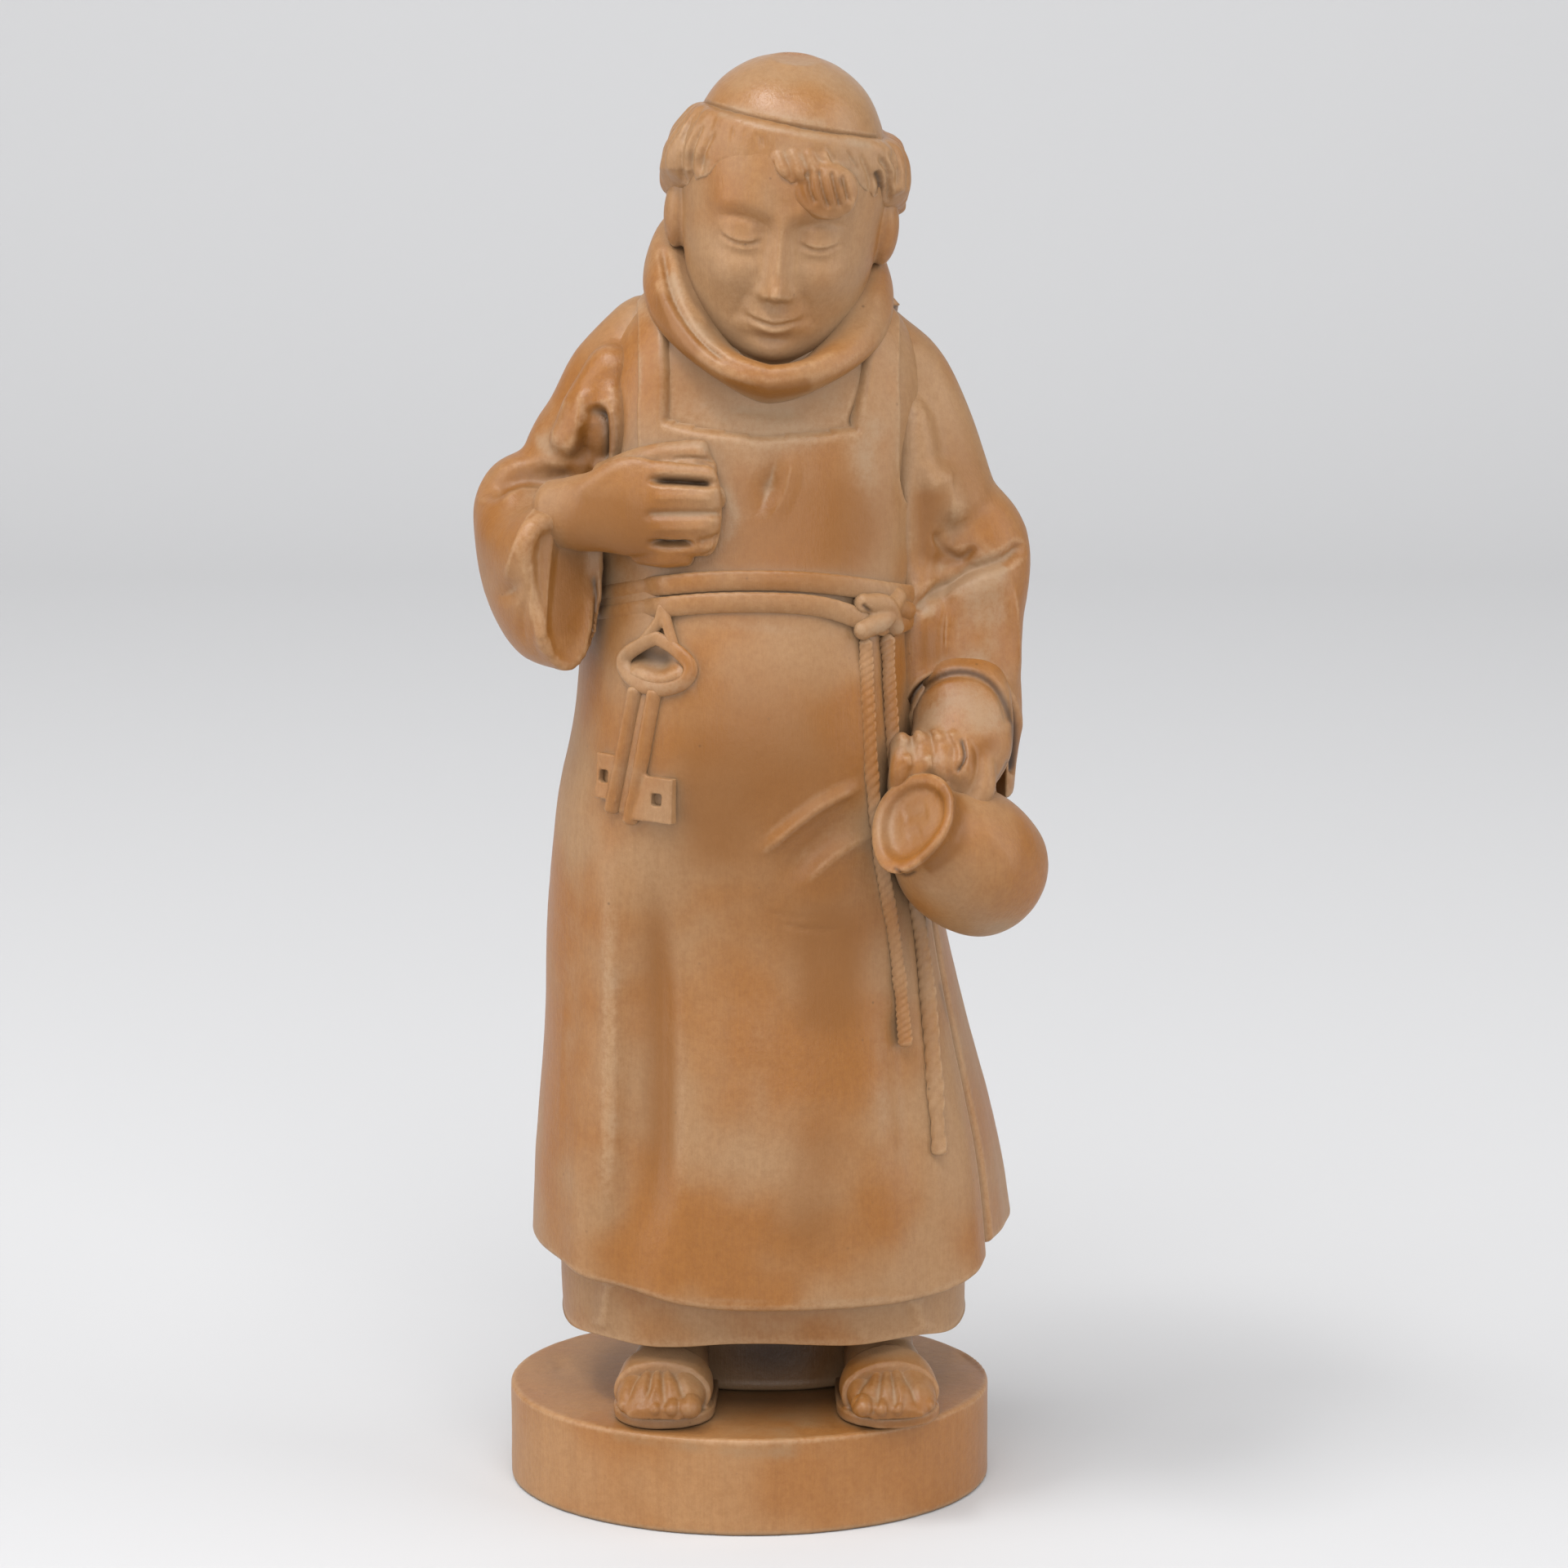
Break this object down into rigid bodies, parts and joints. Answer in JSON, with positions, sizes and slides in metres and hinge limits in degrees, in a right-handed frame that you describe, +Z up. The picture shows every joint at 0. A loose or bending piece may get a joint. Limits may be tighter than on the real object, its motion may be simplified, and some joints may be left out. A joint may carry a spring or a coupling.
{
  "type": "carved monk figure",
  "caption": "Carved wooden figure of a monk on an oval plinth, in habit, scapular and cowl, with a rope belt, keys and a tipped jug; a shelf ornament.",
  "frame": {"origin": "middle of the flat underside of the plinth", "axes": "+Z up, the figure looks along -Y, +X is the figure's left side"},
  "size_m": [0.0955, 0.0748, 0.2469],
  "materials": {
    "figure_wood": "satin, stained and waxed",
    "plinth_wood": "satin, stained and waxed"
  },
  "bodies": {
    "root": {"plinth": "plinth_wood", "habit": "figure_wood", "scapular_front": "figure_wood", "scapular_back": "figure_wood", "right_sleeve": "figure_wood", "left_sleeve": "figure_wood", "cowl": "figure_wood", "hood": "figure_wood", "head": "figure_wood", "hair": "figure_wood", "belt_knot": "figure_wood", "right_hand": "figure_wood", "belt_upper_strand": "figure_wood", "belt_lower_strand": "figure_wood", "short_cord_end": "figure_wood", "long_cord_end": "figure_wood", "jug": "figure_wood", "left_hand": "figure_wood", "key_ring": "figure_wood", "key_loop": "figure_wood", "outer_key": "figure_wood", "inner_key": "figure_wood", "right_foot": "figure_wood", "right_sandal": "figure_wood", "left_foot": "figure_wood", "left_sandal": "figure_wood"}
  },
  "joints": []
}
